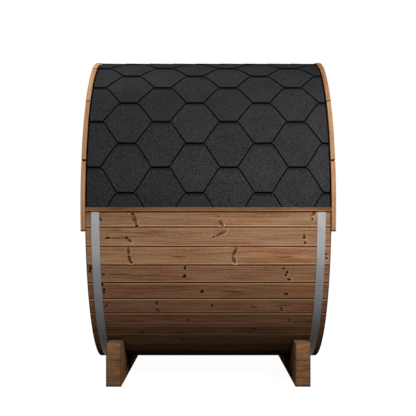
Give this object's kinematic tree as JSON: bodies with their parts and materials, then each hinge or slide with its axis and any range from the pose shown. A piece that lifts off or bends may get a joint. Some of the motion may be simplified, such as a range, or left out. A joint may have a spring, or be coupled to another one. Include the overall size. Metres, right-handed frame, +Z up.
{
  "type": "barrel sauna",
  "caption": "Compact outdoor barrel sauna: coopered timber staves held by steel bands on cradles, hexagonal shingles over the upper half, curved end trim and a glazed end door.",
  "frame": {"origin": "on the ground under the middle of the barrel", "axes": "+X along the barrel to the door end, -Y to the front of the picture, +Z up"},
  "size_m": [1.552, 2.0876, 2.1768],
  "materials": {
    "stave_cedar": "planed cedar, oiled",
    "trim_cedar": "planed cedar, oiled",
    "cradle_timber": "sawn timber, stained",
    "wall_cedar": "planed cedar, oiled",
    "door_cedar": "planed cedar, oiled",
    "floor_cedar": "planed cedar, bare",
    "roof_shingle": "mineral-faced bitumen shingle",
    "band_steel": "stainless, satin",
    "fitting_steel": "stainless, satin",
    "door_glass": "tinted, toughened"
  },
  "bodies": {
    "root": {"left_cradle": "cradle_timber", "right_cradle": "cradle_timber", "front_upper_staves": "stave_cedar", "top_staves": "stave_cedar", "back_upper_staves": "stave_cedar", "back_lower_staves": "stave_cedar", "bottom_staves": "stave_cedar", "front_lower_staves": "stave_cedar", "left_band": "band_steel", "right_band": "band_steel", "front_roof_courses": "roof_shingle", "back_roof_courses": "roof_shingle", "roof_ridge_cap": "roof_shingle", "front_eave_batten": "trim_cedar", "back_eave_batten": "trim_cedar", "left_front_trim": "trim_cedar", "left_back_trim": "trim_cedar", "right_front_trim": "trim_cedar", "right_back_trim": "trim_cedar", "end_wall_boards": "wall_cedar", "door_wall_front_boards": "wall_cedar", "door_wall_back_boards": "wall_cedar", "door_wall_over_boards": "wall_cedar", "door_wall_under_boards": "wall_cedar", "door_jamb_front": "door_cedar", "door_jamb_back": "door_cedar", "door_head": "door_cedar", "door_sill": "door_cedar", "door_stiles": "door_cedar", "door_rails": "door_cedar", "door_glass": "door_glass", "door_hinges": "fitting_steel", "door_handle": "door_cedar", "floor_bearers": "floor_cedar", "floor_slats": "floor_cedar"}
  },
  "joints": []
}
